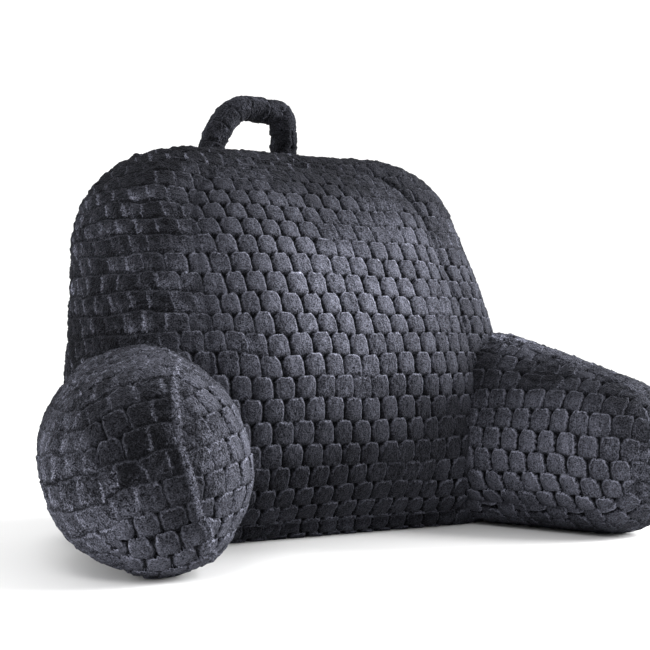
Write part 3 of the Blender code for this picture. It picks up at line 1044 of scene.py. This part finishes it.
class Pile:
    """What the plush's shader knows of a point: the values that its cloth carries, noises as
    fine as the pile's clumps and fibres, and where the point lies in its cell."""

    def __init__(self, tree):
        self.tree = tree
        self.where = tree.nodes.new("ShaderNodeTexCoord").outputs["Object"]
        self.nap_and_painted_light = self.attribute("nap_and_painted_light", "Fac")
        self.crushed = self.attribute("crushed", "Fac")
        self.ridge = self.attribute("ridge", "Fac")
        self.fibres = self.noise(*FIBRES)
        self.clumps = self.noise(*CLUMPS)
        self.ragged = self.clumps * 2.4 + self.fibres * 3.2
        self.tufts = self.noise(*TUFTS) * self.crushed
        self.p, self.q = self.frayed_pattern()
        self.inside, self.x, self.y, row, column = self.nearest_cell()
        self.chance = self.chance_of(row, column)
        self.streaks = self.drawn_out(self.x, self.y, STREAKS, self.chance * 40.0)
        self.strokes = self.drawn_out(self.p, self.q, STROKES)
        self.lift = self.inside.rise(-0.02, 0.09)
        self.gap = self.inside.rise(0.0, -0.07)

    def attribute(self, key, output):
        node = self.tree.nodes.new("ShaderNodeAttribute")
        node.attribute_name = key
        return Value(self.tree, node.outputs[output])

    def noise(self, scale, detail, spot=None):
        """Noise about zero, at the point or at a spot."""
        node = self.tree.nodes.new("ShaderNodeTexNoise")
        node.inputs["Scale"].default_value = scale
        node.inputs["Detail"].default_value = detail
        self.tree.links.new(spot or self.where, node.inputs["Vector"])
        return Value(self.tree, node.outputs["Fac"]) - 0.5

    def drawn_out(self, across, along, scales, depth=0.0):
        spot = join(self.tree, across * scales[0], along * scales[1], depth)
        return self.noise(1.0, 2.0, spot)

    def frayed_pattern(self):
        """Where the point lies in the repeat of cells, as the clumps and the fringe fray it."""
        split = self.tree.nodes.new("ShaderNodeSeparateXYZ")
        feed(self.tree, split, [self.attribute("pattern", "Vector")])
        p, q = (Value(self.tree, split.outputs[axis]) for axis in (0, 1))
        fray = self.crushed.pick(FRAY, FRAY * CRUSHED_FRAY)
        fringe = self.drawn_out(p, q, FRINGE)
        p = p + self.noise(*LOOSE_CLUMPS) * fray
        return p, q + self.clumps * fray + fringe * FRINGE_REACH

    def cell_in(self, row):
        """How far the point lies inside the nearest cell of a row, where it lies from the cell's
        middle, and the cell's row and column."""
        shift = (row - (row * 0.5).floor() * 2) * 0.5
        column = (self.p - shift + 0.5).floor()
        x = self.p - shift - column
        y = self.q - row
        return inside_cell(x.abs(), y, self.crushed, Value.least), x, y, row, column

    def nearest_cell(self):
        """The cell that the point lies furthest inside. Those of the next row overlap."""
        row = (self.q + 0.5).floor()
        found = self.cell_in(row), self.cell_in(row + 1)
        upper = found[1][0].math("GREATER_THAN", found[0][0])
        return [upper.pick(low, high) for low, high in zip(*found)]

    def chance_of(self, row, column):
        """A random value from 0 to 1 of each cell's own."""
        node = self.tree.nodes.new("ShaderNodeTexWhiteNoise")
        node.noise_dimensions = "2D"
        self.tree.links.new(join(self.tree, row, column, 0.0), node.inputs["Vector"])
        return Value(self.tree, node.outputs["Value"])

    def brushed_nap_and_painted_light(self):
        """How pale the nap lies, with its painted light and shade. Crushed pile is brushed now this
        way and now that, paler as painted sheen where it lies towards the light.
        """
        mottle = self.noise(*MOTTLE)
        patches = self.noise(*PATCHES)
        lie = patches * 0.6 + mottle * 0.7 + self.strokes * 0.8 + (self.chance - 0.5) * 0.3
        lie = lie + (self.nap_and_painted_light - 0.8) * 0.4 + self.ragged * 0.1
        brushed = lie.rise(-0.16, 0.16).pick(*BRUSHED_SHEEN)
        return self.nap_and_painted_light * (self.crushed * 1.3).least(1.0).pick(1.0 + mottle * 0.7, brushed)

    def painted_highlight(self):
        """A painted highlight: the pale tips along the upper edge of a cell and, fewer, along its
        right edge, the edges that face the lamps.
        """
        toward_lamps = (self.y * 1.1 + 0.35).least(1.0).most(0.0)
        toward_lamps = toward_lamps.most(self.x.rise(0.2, 0.45) * RIGHT_EDGE_HIGHLIGHT)
        tips = (1.0 + 0.8 * self.ragged).most(0.1)
        return self.lift * self.inside.rise(0.13, 0.04) * toward_lamps * tips * (1.0 - 0.8 * self.crushed)

    def painted_sheen(self):
        """A painted sheen: the pale lines along the straight sides of some crushed cells."""
        line = (self.x.abs() - CELL_SIDE).abs().rise(0.06, 0.01)
        line = line * self.y.rise(0.5, 0.3) * self.y.rise(-0.45, -0.3)
        line = line * self.crushed * self.chance.rise(0.15, 0.75)
        return line * (0.9 + 1.5 * self.ragged).most(0.0)

    def face(self, nap_and_painted_light):
        """A cell's face in painted light and shade, paler up and right, or down and left where the
        pile is crushed.
        """
        grain = self.clumps * 1.2 + self.fibres * 4.2
        face = 1.0 + 0.3 * (self.chance - 0.5) + self.streaks
        face = face + grain * (1.1 + 0.9 * self.crushed) + self.tufts * 3.0
        # painted shade, as if the lamps lit each cell from up and to the right
        painted_shade = self.y.rise(-0.60, -0.20) * 0.5 + 0.53
        painted_shade = painted_shade * (self.x.rise(-0.52, 0.02) * 0.65 + 0.39)
        # painted light on the lower left of crushed cells, as if lit from the left
        painted_light_lower_left = self.x * -1.0 - self.y * 0.6 + self.clumps * 0.5
        painted_light_lower_left = painted_light_lower_left.rise(-0.15, 0.5) * 1.6 + 0.5
        return FACE * nap_and_painted_light * face.most(0.1) * self.crushed.pick(painted_shade, painted_light_lower_left)

    def paleness(self):
        nap_and_painted_light = self.brushed_nap_and_painted_light()
        # painted shade down in the grooves, darker still in the open corners between cells
        pale = self.lift.pick(GROOVE_SHADE * (1.0 - 0.6 * self.gap), self.face(nap_and_painted_light))
        # painted highlight on the tips along the cells' upper and right edges
        pale = pale + self.painted_highlight() * RIM_HIGHLIGHT * (0.3 + 0.7 * nap_and_painted_light)
        # painted shadow along the feet of crushed cells, where one row meets the next
        painted_foot_shadow = (self.y + self.clumps * 0.3).rise(CELL_FOOT + 0.3, CELL_FOOT + 0.12) * self.crushed
        # painted sheen lines along the pressed sides of crushed cells
        pale = pale * (1.0 - 0.2 * self.crushed) * (1.0 - 0.8 * painted_foot_shadow) + self.painted_sheen() * LIP_SHEEN
        return (pale + self.ridge * FACE * (1.1 + 2.4 * self.ragged)).most(DARKEST)

    def height(self):
        """How far the pile's tips stand up, as a share of the bumps' depth."""
        height = self.lift * 1.1 + self.ragged * (0.8 + 0.9 * self.crushed)
        height = height + self.streaks * 0.8 - self.gap * 0.8
        return height + self.strokes * self.crushed * 2.0 + self.tufts * 4.0


def new_material(name, settings):
    """A material, its tree of nodes and its shader, with some of the shader's settings."""
    material = bpy.data.materials.new(name)
    material.use_nodes = True
    shader = material.node_tree.nodes["Principled BSDF"]
    for key, value in settings.items():
        shader.inputs[key].default_value = value
    return material, material.node_tree, shader


def plush_material(name, brightness):
    """Plush whose cells are drawn from the pattern that each point of the cloth carries."""
    material, tree, shader = new_material(name, PLUSH_SHADER)
    pile = Pile(tree)
    tint = tree.nodes.new("ShaderNodeMix")
    tint.data_type = "RGBA"
    tint.inputs["A"].default_value = (0.0, 0.0, 0.0, 1.0)
    tint.inputs["B"].default_value = TINT
    tree.links.new((pile.paleness() * brightness).socket, tint.inputs["Factor"])
    tree.links.new(tint.outputs["Result"], shader.inputs["Base Color"])
    bump = tree.nodes.new("ShaderNodeBump")
    bump.inputs["Strength"].default_value = 1.0
    bump.inputs["Distance"].default_value = BUMP_DEPTH
    tree.links.new(pile.height().socket, bump.inputs["Height"])
    tree.links.new(bump.outputs["Normal"], shader.inputs["Normal"])
    return material


def add_floor():
    """A pale floor that glows far away, as pale there as the backdrop."""
    bpy.ops.mesh.primitive_plane_add(size=12.0, location=(0, 0, 0))
    floor = bpy.context.object
    floor.name = "floor"
    material, tree, shader = new_material("Pale floor", FLOOR_SHADER)
    away = tree.nodes.new("ShaderNodeVectorMath")
    away.operation = "LENGTH"
    tree.links.new(tree.nodes.new("ShaderNodeTexCoord").outputs["Object"], away.inputs[0])
    glow = smooth_range(tree, away.outputs["Value"], FLOOR_GLOW_FROM, (0.0, FLOOR_GLOW))
    tree.links.new(glow, shader.inputs["Emission Strength"])
    floor.data.materials.append(material)


def add_backdrop():
    """Light from all round, brighter from behind."""
    world = bpy.data.worlds.new("World")
    bpy.context.scene.world = world
    world.use_nodes = True
    tree = world.node_tree
    split = tree.nodes.new("ShaderNodeSeparateXYZ")
    tree.links.new(tree.nodes.new("ShaderNodeTexCoord").outputs["Generated"], split.inputs[0])
    sweep = smooth_range(tree, split.outputs["Y"], (-0.5, 0.5), (ROOM_LIGHT, BACKDROP_LIGHT))
    background = tree.nodes["Background"]
    tree.links.new(sweep, background.inputs["Color"])
    background.inputs["Strength"].default_value = 1.0


def add_lamps():
    for name, place, power in LAMPS:
        light = bpy.data.lights.new(name, "AREA")
        light.energy = power
        light.size = LAMP_SIZE
        lamp = new_object(name, light)
        lamp.location = place
        aim = Vector(LAMP_TARGET) - Vector(place)
        lamp.rotation_euler = aim.to_track_quat("-Z", "Y").to_euler()


def add_camera():
    camera = bpy.data.cameras.new("camera")
    camera.sensor_width = 36.0
    camera.lens = CAMERA_LENS
    eye = new_object("camera", camera)
    ahead = (math.sin(CAMERA_TURN), -math.cos(CAMERA_TURN), math.tan(CAMERA_PITCH))
    back = Vector(ahead) * math.cos(CAMERA_PITCH)
    right = Vector((math.cos(CAMERA_TURN), math.sin(CAMERA_TURN), 0.0))
    axes = Matrix((right, back.cross(right), back)).transposed().to_4x4()
    eye.matrix_world = Matrix.Translation(CAMERA_PLACE) @ axes
    bpy.context.scene.camera = eye


def stage():
    add_floor()
    add_backdrop()
    add_lamps()
    add_camera()
    bpy.context.scene.view_settings.view_transform = "Standard"


stage()
main()
